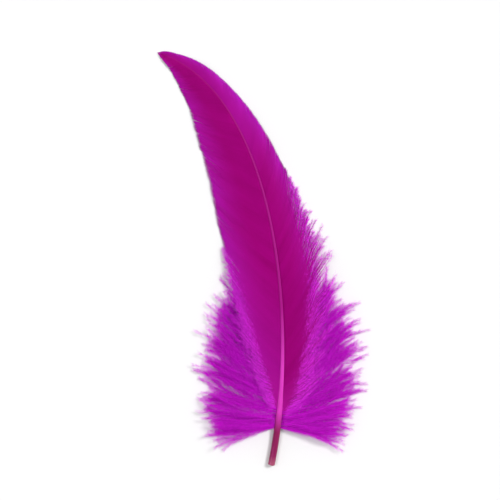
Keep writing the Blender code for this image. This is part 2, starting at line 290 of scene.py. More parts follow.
DOWN_SIDES = (("wide_side_down", -1, WIDE_SIDE_FAN, 21), ("narrow_side_down", 1, NARROW_SIDE_FAN, 22))
DOWN_PARTS = (("lower", (0, LOWER_LOCKS)), ("upper", (LOWER_LOCKS, LOCKS_PER_SIDE)))
QUILL_SEED = 5

# Streaks are noise over two of a piece's numbers. A pattern is a factor for each of the two, an
# offset that keeps one noise apart from the next, and the noise's scale and detail.
HORN_STREAKS = (0.16, 2.2, 0.0, 3.0, 4.0)
HORN_FIBRES = (0.35, 9.0, 5.0, 2.0, 4.0)
BARB_STREAKS = (1.3, 0.16, 0.0, 1.0, 2.0)
BARB_FINE_STREAKS = (2.0, 1.3, 4.0, 1.0, 3.0)
BARB_RIBS = (60.0, 9.0, 0.0, 1.0, 2.0)
# Shares of the shaft's length between which the horn turns from one of its colours to the next.
HORN_STOPS = (0.0, 0.006, 0.020, 0.075, 0.12, 0.21, 0.35, 1.0)
HORN_DARK_START = 0.35
HORN_DARK_SHARE = 0.45
# The horn gets rougher on its fibres and along the shaft, by these weights.
HORN_ROUGHNESS = 0.07
HORN_ROUGHENING = (0.16, 0.6)
HORN_GLEAM = (1.0, 0.35, 0.85)
# How much the broad streaks, the fine ones and a barb's tone lighten it, less a deepening.
BARB_WEIGHTS = (0.7, 0.5, 0.35)
BARB_DEEPENING = 0.30
# The edge's violet grows by a power of the way along a barb, more so on broad streaks. It is partly
# the dye and partly a painted highlight on the lit ends of the barbs.
EDGE_VIOLET_AND_HIGHLIGHT_POWER = 3.0
EDGE_VIOLET_AND_HIGHLIGHT_START = 0.3
# How much the way along a thread, its tone and small spots lighten the down.
DOWN_WEIGHTS = (0.45, 0.45, 0.25)
DOWN_SPOTS_SCALE = 260.0
FLOOR_MOTTLE_SCALE = 30.0
FLOOR_MOTTLE_DARKENING = 0.99

# The stage. A sun stands to the right, up the view and above, and is some degrees wide. The walls
# reach up to one height, and the ceiling starts at the other (0 level, 1 straight above).
KEY_SUN = ((0.62, 0.42, 0.85), 14.0)
FILL_SUN = ((-0.60, 0.10, 1.1), 20.0)
WALLS_TO = 0.05
CEILING_FROM = 0.60
FLOOR_SIZE = 16.0


def from_screen(red, green, blue):
    """A linear colour from the 0 to 255 values that a screen shows."""
    share = np.array((red, green, blue)) / 255.0
    return tuple(np.where(share <= 0.04045, share / 12.92, ((share + 0.055) / 1.055) ** 2.4))


# ---------------------------------------------------------------- places on the feather


def between(ends, share):
    """From the first of two values (share 0) to the second (share 1)."""
    return ends[0] + (ends[1] - ends[0]) * share


def smooth_table(table, x):
    """Cubic through (position, value) rows, its slope at each row being that of its neighbours."""
    xs, ys = np.array(table).T
    slopes = np.gradient(ys, xs)
    x = np.clip(x, xs[0], xs[-1])
    i = np.clip(np.searchsorted(xs, x) - 1, 0, len(xs) - 2)
    h = xs[i + 1] - xs[i]
    t = (x - xs[i]) / h
    start = (1 + 2 * t) * (1 - t) ** 2 * ys[i] + t * (1 - t) ** 2 * h * slopes[i]
    end = t**2 * (3 - 2 * t) * ys[i + 1] + t**2 * (t - 1) * h * slopes[i + 1]
    return start + end


def smooth_step(low, high, x):
    """0 below low, 1 above high, and 3 t^2 - 2 t^3 between them."""
    t = np.clip((x - low) / (high - low), 0.0, 1.0)
    return t * t * (3 - 2 * t)


def shaft_samples():
    """Plan points, unit tangents and stations along the shaft's cubic Bezier."""
    t = np.linspace(0.0, 1.0, SHAFT_SAMPLES)[:, None]
    p0, p1, p2, p3 = (np.array(p) for p in SHAFT_CURVE)
    points = (1 - t) ** 3 * p0 + 3 * (1 - t) ** 2 * t * p1 + 3 * (1 - t) * t**2 * p2 + t**3 * p3
    steps = np.linalg.norm(np.diff(points, axis=0), axis=1)
    stations = np.concatenate(([0.0], np.cumsum(steps)))
    tangents = np.gradient(points, stations, axis=0)
    tangents /= np.linalg.norm(tangents, axis=1)[:, None]
    return points, tangents, stations


SHAFT_POINTS, SHAFT_TANGENTS, SHAFT_STATIONS = shaft_samples()
SHAFT_LENGTH = float(SHAFT_STATIONS[-1])


def shaft_tangent(station):
    """The plan direction of the shaft, towards the tip."""
    return np.stack([np.interp(station, SHAFT_STATIONS, SHAFT_TANGENTS[:, k]) for k in (0, 1)], -1)


def shaft_point(station):
    """The point between two samples, or past an end of the shaft, straight on from it."""
    on_shaft = np.stack([np.interp(station, SHAFT_STATIONS, SHAFT_POINTS[:, k]) for k in (0, 1)], -1)
    beyond = station - np.clip(station, 0.0, SHAFT_LENGTH)
    return on_shaft + beyond[..., None] * shaft_tangent(station)


def shaft_radius(station):
    """Half the width of the round shaft."""
    return smooth_table(SHAFT_RADII, station)


def shaft_height(station):
    """Height of the shaft's middle: its radius, plus an arch t^p (1 - t) scaled to its own peak."""
    t = np.clip((station - ARCH_START) / (SHAFT_LENGTH - ARCH_START), 0.0, 1.0)
    peak = ARCH_POWER / (ARCH_POWER + 1)
    arch = t**ARCH_POWER * (1 - t) / (peak**ARCH_POWER * (1 - peak))
    return shaft_radius(station) * SEAT_SHARE + ARCH_HEIGHT * arch


def place(station, reach, height):
    """Points in metres: the shaft's plan point, plus reach times its right-hand side, at height."""
    plan = shaft_point(station)
    along = shaft_tangent(station)
    x = plan[..., 0] + along[..., 1] * reach - OUTLINE_MIDDLE[0]
    y = plan[..., 1] - along[..., 0] * reach - OUTLINE_MIDDLE[1]
    return np.stack(np.broadcast_arrays(x, y, height), -1) * MM


# ---------------------------------------------------------------- meshes

UP = np.array((0.0, 0.0, 1.0))
OBLIQUE = np.array((0.31, 0.17, 0.94))


def unit(vectors):
    """Vectors divided by their own lengths."""
    return vectors / np.linalg.norm(vectors, axis=-1)[..., None]


def skin(rings):
    """Faces over rings of corners, an array (strand, ring, corner, xyz), with both ends capped."""
    strands, count, corners = rings.shape[:3]
    index = np.arange(strands * count * corners).reshape(strands, count, corners)
    here, ahead = index[:, :-1], index[:, 1:]
    around = np.roll(here, -1, axis=2)
    around_ahead = np.roll(ahead, -1, axis=2)
    sides = np.stack((here, around, around_ahead, ahead), -1).reshape(-1, 4)
    first = index[:, 0, ::-1]
    last = index[:, -1]
    return rings.reshape(-1, 3), [sides, first, last]


def triangle_round(middle, across, upright, radius):
    """The three corners of a triangle in the plane of two directions, as a list."""
    return [middle + radius * (math.cos(a) * across + math.sin(a) * upright) for a in TRIANGLE]


def spindles(base, middle, tip, thickness):
    """Bent needles: six triangles from a base point over a triangle at the middle to the tip."""
    along = unit(tip - base)
    across = unit(np.cross(along, OBLIQUE))
    upright = np.cross(along, across)
    corners = triangle_round(middle, across, upright, thickness)
    points = np.stack([base, *corners, tip], 1)
    pattern = np.array(((0, 2, 1), (0, 3, 2), (0, 1, 3), (4, 1, 2), (4, 2, 3), (4, 3, 1)))
    faces = (np.arange(len(base)) * NEEDLE_CORNERS)[:, None, None] + pattern
    return points.reshape(-1, 3), [faces.reshape(-1, 3)]


def join_shapes(shapes):
    """One list of points and faces from several."""
    points, faces, start = [], [], 0
    for some_points, some_faces in shapes:
        points.append(some_points)
        faces += [group + start for group in some_faces]
        start += len(some_points)
    return np.concatenate(points), faces


def add_piece(name, shape, values, node, material):
    """Puts points and faces into a mesh that stands for a node of the frame."""
    points, groups = shape
    mesh = bpy.data.meshes.new(name)
    corners = np.concatenate([group.ravel() for group in groups])
    totals = np.concatenate([np.full(len(group), group.shape[1]) for group in groups])
    mesh.vertices.add(len(points))
    mesh.vertices.foreach_set("co", points.astype(np.float32).ravel())
    mesh.loops.add(len(corners))
    mesh.loops.foreach_set("vertex_index", corners.astype(np.int32))
    mesh.polygons.add(len(totals))
    mesh.polygons.foreach_set("loop_start", (np.cumsum(totals) - totals).astype(np.int32))
    mesh.update(calc_edges=True)
    if mesh.validate():
        raise ValueError(f"{name} has faces that Blender had to mend")
    for value_name, numbers in values.items():
        layer = mesh.attributes.new(value_name, "FLOAT", "POINT")
        layer.data.foreach_set("value", numbers.astype(np.float32).ravel())
    mesh.shade_smooth()
    mesh.materials.append(material)
    piece = bpy.data.objects.new(name, mesh)
    bpy.context.scene.collection.objects.link(piece)
    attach(piece, "root")
    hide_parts(node)
    return piece


# ---------------------------------------------------------------- the shaft


def quill_profile():
    """Stations, radii and a mark for the outside, from the end of the hollow out along the shaft.

    The hollow narrows by the cube of its depth, and the rachis thins by a smooth step at its end.
    """
    inner = np.linspace(BORE_DEPTH, 0.0, BORE_RINGS)
    inner_radii = BORE_RADIUS + (BORE_END_RADIUS - BORE_RADIUS) * (inner / BORE_DEPTH) ** 3
    inside = [BORE_POINT, *zip(inner, inner_radii)]
    barrel = np.linspace(BARREL_START, BARREL_LENGTH, BARREL_RINGS)
    rachis = np.linspace(RACHIS_START, RACHIS_END, RACHIS_RINGS)
    outer = np.concatenate((barrel, rachis))
    thinning = 1.0 - RACHIS_THINNED * smooth_step(RACHIS_END - RACHIS_THINNING, RACHIS_END, outer)
    outside = [*RIM, *zip(outer, shaft_radius(outer) * thinning), RACHIS_POINT]
    stations, radii = np.array(inside + outside).T
    is_outside = np.repeat((0.0, 1.0), (len(inside), len(outside)))
    return stations, radii, is_outside


def quill_shape(rng):
    """The shaft as one closed skin, from the end of its hollow round the rim and out to the tip.

    A ring is x = r cos a, z = r sin a. Towards the rachis it becomes a rounded square, with
    |cos a| and |sin a| raised to a power below 1, and its underside gets a groove.
    """
    stations, radii, is_outside = (numbers[:, None] for numbers in quill_profile())
    angle = np.arange(SHAFT_SIDES) * 2 * math.pi / SHAFT_SIDES
    cosine, sine = np.cos(angle), np.sin(angle)
    square = smooth_step(*SQUARE_STATIONS, stations)
    power = 1.0 - SQUARE_POWER_LOSS * square
    across = np.sign(cosine) * np.abs(cosine) ** power
    upright = np.sign(sine) * np.abs(sine) ** power
    groove = GROOVE_DEPTH * square * np.exp(-((cosine / GROOVE_WIDTH) ** 2)) * (sine < 0)
    winding = GRAIN_WINDING * np.sin(stations * GRAIN_RHYTHM)
    grain = GRAIN_DEPTH * np.sin(GRAIN_RIDGES * angle + winding)
    swell_stations = np.linspace(*SWELL_STATIONS, SWELLS)
    swell = np.interp(stations, swell_stations, rng.normal(0.0, SWELL_SIZE, SWELLS))
    size = radii * (1 + (grain + swell) * is_outside)
    reach = size * across * (1 - SQUARE_NARROWING * square)
    rise = size * (upright * (1 + SQUARE_HEIGHTENING * square) + groove)
    height = np.maximum(shaft_height(stations) + rise, 0.0)
    teeth = np.sin(RAGGED_TEETH * angle + RAGGED_TURN)
    ragged = RAGGED_DEPTH * teeth * np.exp(-((stations / RAGGED_REACH) ** 2))
    points = place(stations + ragged * is_outside, reach, height)
    values = {
        "along": np.broadcast_to(stations, reach.shape),
        "around": np.broadcast_to(angle, reach.shape),
        "inside": np.broadcast_to(1 - is_outside, reach.shape),
    }
    return skin(points[None]), values


# ---------------------------------------------------------------- the vanes


class Vane:
    """One vane: its side of the shaft, its edge, the sweep of its barbs, its splits and its clumps.

    The barbs are numbered from the base. Barbs that cling together in a clump share a lean, a
    length and a height, so the vane's edge is finely notched and its face has soft steps.
    """

    def __init__(self, count, side, edge, sweep, splits, strays, violet_and_highlight, seed):
        self.count, self.side, self.edge, self.sweep, self.splits = count, side, edge, sweep, splits
        self.rng = rng = np.random.default_rng(seed)
        self.first, last = edge[0][0], edge[-1][0]
        self.tips = np.linspace(self.first, last, count)
        self.pitch = (last - self.first) / count
        # Violet for each barb from the tables: partly the dye, partly a painted highlight on lit bands.
        self.violet_and_highlight = np.interp(self.tips, *np.array(violet_and_highlight).T)
        self.loose = 1.0 - smooth_step(self.first, self.first + LOOSE_SPAN, self.tips)
        stray_span, stray_length, least = strays
        self.fluffy_span = FLUFFY_SHARE * stray_span[1]
        clump = self.clumps()
        middles = np.bincount(clump, self.tips) / np.bincount(clump)
        self.pull = (middles[clump] - self.tips) * rng.uniform(0.0, CLUMP_PULL, count)[clump]
        self.wander = rng.normal(0.0, 1.0, count)
        clump_length = rng.normal(0.0, CLUMP_LENGTH_CHANGE, count)[clump]
        own_length = rng.normal(0.0, BARB_LENGTH_CHANGE, count)
        own_length = own_length + LOOSE_LENGTH_CHANGE * self.loose * rng.uniform(-1, 1, count)
        stray = self.strays(stray_span, least)
        self.share = 1.0 + clump_length + own_length + stray_length * stray
        self.free = np.maximum(stray, self.loose)
        self.lift = rng.normal(0.0, CLUMP_LIFT, count)[clump]
        self.lift = self.lift + LOOSE_LIFT * self.loose * rng.normal(0, 1, count)
        self.tone = CLUMP_TONE * rng.uniform(0, 1, count)[clump]
        self.tone = self.tone + (1 - CLUMP_TONE) * rng.uniform(0, 1, count)
        self.ripple = self.waves(VANE_WAVES)

    def clumps(self):
        """The number of the clump that each barb is in."""
        sizes = self.rng.integers(*CLUMP_SIZES, self.count)
        return np.searchsorted(np.cumsum(sizes), np.arange(self.count), side="right")

    def strays(self, span, least):
        """How much of a stray each barb is: a random number raised to a power, fewer up the vane."""
        common = 1.0 - smooth_step(*span, self.tips - self.first)
        return common * np.maximum(self.rng.uniform(least, 1.0, self.count), 0.0) ** STRAY_POWER

    def waves(self, lengths_and_sizes):
        """Soft rises and hollows along the vane: a sum of sine waves."""
        total = np.zeros(self.count)
        for length, size in lengths_and_sizes:
            total += size * np.sin(2 * math.pi * self.tips / length + self.rng.uniform(0, 2 * math.pi))
        return total

    def drift(self, reach):
        """How far a barb has run towards the tip where it has reached w out: (a + b w) w."""
        return (self.sweep[0] + self.sweep[1] * reach) * reach

    def split_shift(self, tip_station, along):
        """Barbs lean away from a split, most at their ends, and as e^-d at a distance d from it."""
        shift = 0.0
        for station, depth, width in self.splits:
            away = tip_station - station
            opened = smooth_step(1.0 - depth, 1.0, along)
            shift = shift + np.sign(away) * 0.5 * width * np.exp(-np.abs(away) / SPLIT_FADE) * opened
        return shift

    def lean(self, barb, along):
        """How far barbs lean towards the tip: into their clump, at random, and curled at the end."""
        closing = self.pull[barb] * smooth_step(CLUMP_START, 1.0, along)
        wander = self.wander[barb] * (BARB_WANDER + LOOSE_WANDER * self.loose[barb])
        fade = 1 - CURL_FADE * smooth_step(*CURL_FADE_STATIONS, self.tips[barb])
        curl = END_CURL * (1 - self.free[barb]) * fade
        return closing + wander * along**WANDER_POWER + curl * smooth_step(CURL_START, 1.0, along)

    def point(self, barb, along, across=0.0, rise=0.0):
        """Points on numbered barbs, along them from the shaft (0) to their ends (1), in metres.

        A barb that ends at station s reaches w there. It leaves the shaft at s less the drift
        from the shaft to w, and its height falls from the shaft's by a power of its reach. A
        stray goes on past w on a straight slope. Across and rise are offsets in millimetres
        along the shaft and upwards.
        """
        tip = self.tips[barb]
        tip = tip + self.split_shift(tip, along) + self.lean(barb, along) + across
        whole = smooth_table(self.edge, tip)
        swing = between((BASE_SWEEP, 1.0), smooth_step(self.first, FULL_SWEEP_STATION, tip))
        run = np.maximum(swing * self.drift(whole), tip - LAST_ROOT)
        root = np.minimum(ROOT_IN_SHAFT * shaft_radius(tip - run), ROOT_MOST * whole)
        reach = root + (whole * self.share[barb] - root) * along
        past_edge = np.maximum(reach - whole, 0.0)
        station = tip - run * (1 - self.drift(reach - past_edge) / self.drift(whole))
        station = station + STRAY_SLOPE * past_edge
        seat = VANE_SEAT * smooth_step(*(self.first + s for s in SEAT_STATIONS), station)
        top = shaft_height(station) + seat * shaft_radius(station)
        droop = between((BASE_DROOP, 1.0), smooth_step(*LIFT_STATIONS, station))
        fall = (top - VANE_FLOOR) * droop * np.clip(reach / whole, 0.0, 1.0) ** DROOP_POWER
        height = top - fall + self.ripple[barb] * along + self.lift[barb] * along**2 + rise
        return place(station, self.side * reach, np.maximum(height, LOWEST_BARB))


def barbs_shape(vane, thickness):
    """Every barb is a ribbon with a lens-shaped section of four corners, lapping over the next.

    The section is an offset along the shaft and one upwards. It thins in proportion to the way
    along the barb, and its outer part tapers by a smooth step.
    """
    barb = np.arange(vane.count)[:, None, None]
    along = np.linspace(0.0, 1.0, BARB_POINTS)[None, :, None]
    taper_start = BARB_TAPER_START - STRAY_TAPER_CHANGE * vane.free[barb]
    taper = 1.0 - BARB_TAPER * smooth_step(taper_start, 1.0, along)
    across = np.array(BARB_CORNERS_ACROSS) * BARB_HALF_WIDTH * vane.pitch * taper
    rise = np.array(BARB_CORNERS_UPRIGHT) * thickness * between(BARB_THICKNESSES, along) * taper
    rings = vane.point(barb, along, across, rise)
    if vane.side < 0:
        rings = rings[:, :, ::-1]
    shape = rings.shape[:3]
    values = {
        "along": np.broadcast_to(along, shape),
        "across": np.broadcast_to(vane.tips[barb], shape),
        "tone": np.broadcast_to(vane.tone[barb], shape),
        "loose": np.broadcast_to(LOOSE_VIOLET * vane.loose[barb], shape),
        "violet_and_highlight": np.broadcast_to(vane.violet_and_highlight[barb], shape),
    }
    return skin(rings), values


def bent_needles(base, aim, ahead, length, turn, scatter):
    """Middles and tips of needles: straight out to the knee, then turned ahead, with scatter."""
    middle = base + KNEE * length * aim
    tip = middle + (1 - KNEE) * length * unit(aim + turn * ahead + scatter)
    return middle, tip


def fringe_shape(vane, count, longest, thickness):
    """Fluff on the outer part of the lowest barbs: bent needles that slant to the barb's end."""
    rng = vane.rng
    fluffy = int(vane.fluffy_span / vane.pitch)
    barb = (fluffy * rng.uniform(0, 1, count) ** FRINGE_CROWDING).astype(int)
    share = barb / fluffy
    bare = BARE_SHARE + BARE_GROWTH * np.sqrt(share) + rng.normal(0, BARE_CHANGE, count)
    bare = np.clip(bare, *BARE_LIMITS)
    along = bare + (1 - bare) * rng.uniform(0, 1, count)
    base = vane.point(barb, along)
    ahead = unit(vane.point(barb, along + FRINGE_STEP) - base)
    across = unit(np.cross(ahead, UP))
    side = rng.choice((-1.0, 1.0), count)[:, None]
    slant = np.radians(rng.uniform(*FRINGE_SLANTS, count))[:, None]
    aim = np.cos(slant) * ahead + np.sin(slant) * side * across
    aim = aim + rng.normal(0, FRINGE_SCATTER[0], (count, 3))
    length = longest * MM * rng.uniform(*FRINGE_LENGTHS, count) * (1 - FRINGE_SHORTENING * share)
    scatter = rng.normal(0, FRINGE_SCATTER[1], (count, 3))
    middle, tip = bent_needles(base, aim, ahead, length[:, None], FRINGE_TURN, scatter)
    for corners in (base, middle, tip):
        corners[:, 2] = np.maximum(corners[:, 2], LOWEST_FLUFF * MM)
    values = {
        "along": np.repeat(along, NEEDLE_CORNERS),
        "across": np.repeat(vane.tips[barb], NEEDLE_CORNERS),
        "tone": np.repeat(rng.uniform(0, 1, count), NEEDLE_CORNERS),
        "loose": np.ones(count * NEEDLE_CORNERS),
        "violet_and_highlight": np.zeros(count * NEEDLE_CORNERS),
    }
    return spindles(base, middle, tip, thickness * MM), values


def vane_shape(vane, settings):
    """A vane's barbs with the fluff on the lowest of them."""
    barbs, barb_values = barbs_shape(vane, settings.barb_thickness / MM)
    count = int(settings.fringe_barbules * vane.fluffy_span)
    fringe, fringe_values = fringe_shape(
        vane, count, settings.barbule_length / MM, settings.barbule_thickness / MM)
    values = {
        name: np.concatenate((barb_values[name].ravel(), fringe_values[name])) for name in barb_values}
    return join_shapes((barbs, fringe)), values


# ---------------------------------------------------------------- the down


def turned(forward, outward, angle):
    """Plan directions: forward times the cosine of an angle plus outward times its sine."""
    return np.cos(angle)[:, None] * forward + np.sin(angle)[:, None] * outward


class Tuft:
    """The downy threads of some locks of one side, each a bent line off the shaft."""

    def __init__(self, side, fan, locks, threads_per_lock, seed):
        self.rng = rng = np.random.default_rng(seed)
        self.lock = lock = np.repeat(np.arange(*locks), threads_per_lock)
        self.count = count = len(lock)
        jitter = rng.uniform(-LOCK_JITTER, LOCK_JITTER, count)
        share = np.clip((lock + jitter) / (LOCKS_PER_SIDE - 1), 0.0, 1.0)
        station = between(DOWN_STATIONS, share**STATION_POWER)
        self.open_air = 1.0 - smooth_step(*OPEN_AIR_SHARES, share)
        spread, curve = np.clip(rng.normal(0, 1, (2, count)), -SPREAD_LIMIT, SPREAD_LIMIT)
        spread = spread * (THREAD_SPREAD + OPEN_AIR_SPREAD * self.open_air)
        angle = np.radians(between(fan, share**FAN_POWER) + spread)
        sway = LOCK_BEND * np.sin(LOCK_BEND_RHYTHM * lock + LOCK_BEND_START)
        bend = (sway + THREAD_BEND * curve) * (1 - OPEN_AIR_STRAIGHTER * self.open_air)
        bend = np.radians(bend - UPWARD_BEND * (1 - self.open_air))
        length = self.lengths(share)
        forward = shaft_tangent(station)
        outward = np.stack((forward[:, 1], -forward[:, 0]), -1) * side
        heights = self.heights(station, length)
        root = shaft_point(station) + outward * (ROOT_REACH * shaft_radius(station))[:, None]
        middle = root + 0.5 * length[:, None] * turned(forward, outward, angle)
        end = root + length[:, None] * turned(forward, outward, angle + bend)
        plans = (root, middle, end)
        self.corners = [np.concatenate((p, h[:, None]), 1)[:, None] for p, h in zip(plans, heights)]
        self.phase = rng.uniform(0, 2 * math.pi, (3, count, 1))

    def lengths(self, share):
        """Lengths swell over the fan as a sine, with a rhythm from lock to lock."""
        fullness = np.sin(math.pi * (LOCK_LENGTH_SWELL[0] + LOCK_LENGTH_SWELL[1] * share))
        rhythm = LOCK_LENGTH_CHANGE * np.sin(LOCK_LENGTH_RHYTHM * self.lock)
        return (between(LOCK_LENGTHS, fullness) + rhythm) * self.rng.uniform(*THREAD_LENGTHS, self.count)

    def heights(self, station, length):
        """Heights of the root, the middle and the end: a base, and a step for each layer up.

        In open air the steps are large. Under the vane the middle takes a share of the room
        between the surface and the shaft.
        """
        jitter = self.rng.uniform(-LAYER_JITTER, LAYER_JITTER, self.count)
        layer = np.clip(self.lock % LOCK_LAYERS + jitter, *LAYER_LIMITS)
        room = shaft_height(station + ROOM_AT * length) * (1 - self.open_air)
        root_rise = self.rng.uniform(*ROOT_RISES, self.count)
        in_air = MIDDLE_IN_OPEN_AIR[0] + MIDDLE_IN_OPEN_AIR[1] * layer
        under_vane = MIDDLE_UNDER_VANE[0] + MIDDLE_UNDER_VANE[1] * layer
        return (
            shaft_height(station) + root_rise * shaft_radius(station),
            MIDDLE_HEIGHT + in_air * self.open_air + under_vane * room,
            END_HEIGHT + layer * (END_LAYER + END_LAYER_IN_OPEN_AIR * self.open_air),
        )

    def point(self, t):
        """(1-t)^2 p0 + 2t(1-t) p1 + t^2 p2 for each thread, plus a wave that grows with t."""
        p0, p1, p2 = self.corners
        u = t[..., None]
        path = (1 - u) ** 2 * p0 + 2 * u * (1 - u) * p1 + u**2 * p2
        wave = [np.sin(2 * math.pi * WAVE_TURNS * t + phase) for phase in self.phase]
        return path + np.stack(wave, -1) * u * np.array(WAVE_SIZES)

    def tangent(self, t):
        """The direction from a little before a place on the thread to a little past it."""
        return unit(self.point(t + TANGENT_STEP) - self.point(t - TANGENT_STEP))


def to_world(points):
    """From millimetres on the chord to metres about the outline's middle, kept off the surface."""
    moved = points - np.array((*OUTLINE_MIDDLE, 0.0))
    moved[..., 2] = np.maximum(moved[..., 2], LOWEST_FLUFF)
    return moved * MM


def thread_shape(tuft):
    """Each thread is a three-sided tube, whose radius falls as a (1-t)^p + b."""
    t = np.broadcast_to(np.linspace(0.0, 1.0, THREAD_POINTS), (tuft.count, THREAD_POINTS))
    along = tuft.tangent(t)
    across = unit(np.cross(along, UP))
    upright = np.cross(across, along)
    radius = (THREAD_RADII[0] * (1 - t) ** THREAD_TAPER + THREAD_RADII[1])[..., None]
    rings = np.stack(triangle_round(tuft.point(t), across, upright, radius), 2)
    return skin(to_world(rings))


def barbule_shape(tuft, per_thread, longest, thickness):
    """Fine barbules leave each thread on both sides, slanting to its end and bending along it.

    The n-th of N sits at (n / N)^p along its thread, with a power p below 1. Lengths swell as a
    sine along the thread.
    """
    rng = tuft.rng
    size = (tuft.count, per_thread)
    open_air = tuft.open_air[:, None]
    power = BARBULE_POWER - BARBULE_POWER_LOSS * (1 - open_air)
    t = np.linspace(0.0, 1.0, per_thread) ** power + rng.normal(0, BARBULE_JITTER, size)
    t = np.clip(t, 0.0, 1.0)
    along = tuft.tangent(t)
    across = unit(np.cross(along, UP))
    upright = np.cross(across, along)
    slant = np.radians(rng.uniform(*BARBULE_SLANTS, size))[..., None]
    rolled = between((FLAT_ROLL, 1.0), between((smooth_step(*ROLL_SHARES, t), 1.0), open_air))
    roll = (np.radians(rng.normal(0.0, BARBULE_ROLL, size)) * rolled)[..., None]
    side = np.where(np.arange(per_thread) % 2, 1.0, -1.0)[None, :, None]
    aim = np.cos(slant) * along + np.sin(slant) * (side * np.cos(roll) * across + np.sin(roll) * upright)
    swell = np.sin(math.pi * (BARBULE_SWELL[0] + BARBULE_SWELL[1] * t))
    length = longest * between((BARBULE_SHORTEST, 1.0), swell) * rng.uniform(*BARBULE_LENGTHS, size)
    base = tuft.point(t)
    scatter = rng.normal(0, BARBULE_SCATTER, (*size, 3))
    middle, tip = bent_needles(base, aim, along, length[..., None], BARBULE_TURN, scatter)
    base, middle, tip = (to_world(p).reshape(-1, 3) for p in (base, middle, tip))
    return spindles(base, middle, tip, thickness * MM)


def down_shape(side, fan, locks, settings, seed):
    """The threads and barbules of some locks of one side, with a tone for each lock."""
    tuft = Tuft(side, fan, locks, settings.threads_per_lock, seed)
    per_thread = settings.barbules_per_thread
    threads = thread_shape(tuft)
    barbules = barbule_shape(
        tuft, per_thread, settings.barbule_length / MM, settings.barbule_thickness / MM)
    lock_tone = tuft.rng.uniform(0, 1, LOCKS_PER_SIDE)[tuft.lock]
    tone = DOWN_LOCK_TONE * lock_tone + (1 - DOWN_LOCK_TONE) * tuft.rng.uniform(0, 1, tuft.count)
    along, tones = [], []
    for rows, corners in ((THREAD_POINTS, len(TRIANGLE)), (per_thread, NEEDLE_CORNERS)):
        along.append(np.tile(np.repeat(np.linspace(0.0, 1.0, rows), corners), tuft.count))
        tones.append(np.repeat(tone, rows * corners))
    values = {"tone": np.concatenate(tones), "along": np.concatenate(along)}
    return join_shapes((threads, barbules)), values


# ---------------------------------------------------------------- finishes


def opaque(colour):
    """A colour with a full fourth channel."""
    return (*colour, 1.0)


class Nodes:
    """Adds and wires the nodes of one material."""

    def __init__(self, name):
        self.material = bpy.data.materials.new(name)
        self.material.use_nodes = True
        self.tree = self.material.node_tree
        self.shader = self.tree.nodes["Principled BSDF"]

    def add(self, kind, **sockets):
        node = self.tree.nodes.new(kind)
        self.set(node, **sockets)
        return node

    def set(self, node, **sockets):
        """Sockets go by their names, with _ for a space, or by their numbers, as _0."""
        for name, value in sockets.items():
            is_number = name[1:].isdigit()
            socket = node.inputs[int(name[1:]) if is_number else name.replace("_", " ")]
            if isinstance(value, bpy.types.NodeSocket):
                self.tree.links.new(value, socket)
            else:
                socket.default_value = value

    def value(self, name):
        """The piece's own number of this name at each point."""
        node = self.add("ShaderNodeAttribute")
        node.attribute_name = name
        return node.outputs["Fac"]

    def math(self, operation, first, second=0.0):
        node = self.add("ShaderNodeMath", _0=first, _1=second)
        node.operation = operation
        return node.outputs[0]

    def weighted(self, numbers, weights):
        """The sum of numbers, each times its weight."""
        total = 0.0
        for number, weight in zip(numbers, weights):
            total = self.math("ADD", total, self.math("MULTIPLY", number, weight))
        return total

    def mix(self, share, first, second):
        node = self.add("ShaderNodeMix", _0=share, _6=first, _7=second)
        node.data_type = "RGBA"
        return node.outputs[2]

    def ramp(self, share, stops):
        """A colour ramp through (position, colour) stops."""
        node = self.add("ShaderNodeValToRGB", Fac=share)
        points = node.color_ramp.elements
        while len(points) < len(stops):
            points.new(0.5)
        for point, (position, colour) in zip(points, stops):
            point.position = position
            point.color = opaque(colour)
        return node.outputs["Color"]

    def noise(self, vector, scale, detail=3.0):
        return self.add("ShaderNodeTexNoise", Vector=vector, Scale=scale, Detail=detail).outputs["Fac"]

    def object_place(self):
        return self.add("ShaderNodeTexCoord").outputs["Object"]

    def streaks(self, first, second, pattern):
        """Noise over two of the piece's numbers, by a pattern from the constants."""
        first_factor, second_factor, offset, scale, detail = pattern
        x = self.math("MULTIPLY", first, first_factor)
        y = self.math("MULTIPLY", second, second_factor)
        vector = self.add("ShaderNodeCombineXYZ", X=x, Y=y, Z=offset).outputs[0]
        return self.noise(vector, scale, detail)

    def let_light_through(self, colour, share):
        """Lets this share of the light shine through to the other side, in this colour."""
        through = self.add("ShaderNodeBsdfTranslucent", Color=colour)
        both = self.add("ShaderNodeMixShader", _0=share, _1=self.shader.outputs[0], _2=through.outputs[0])
        output = self.tree.nodes["Material Output"]
        self.tree.links.new(both.outputs[0], output.inputs["Surface"])

    def bump(self, height, strength, distance):
        node = self.add("ShaderNodeBump", Height=height, Strength=strength, Distance=distance)
        self.tree.links.new(node.outputs["Normal"], self.shader.inputs["Normal"])


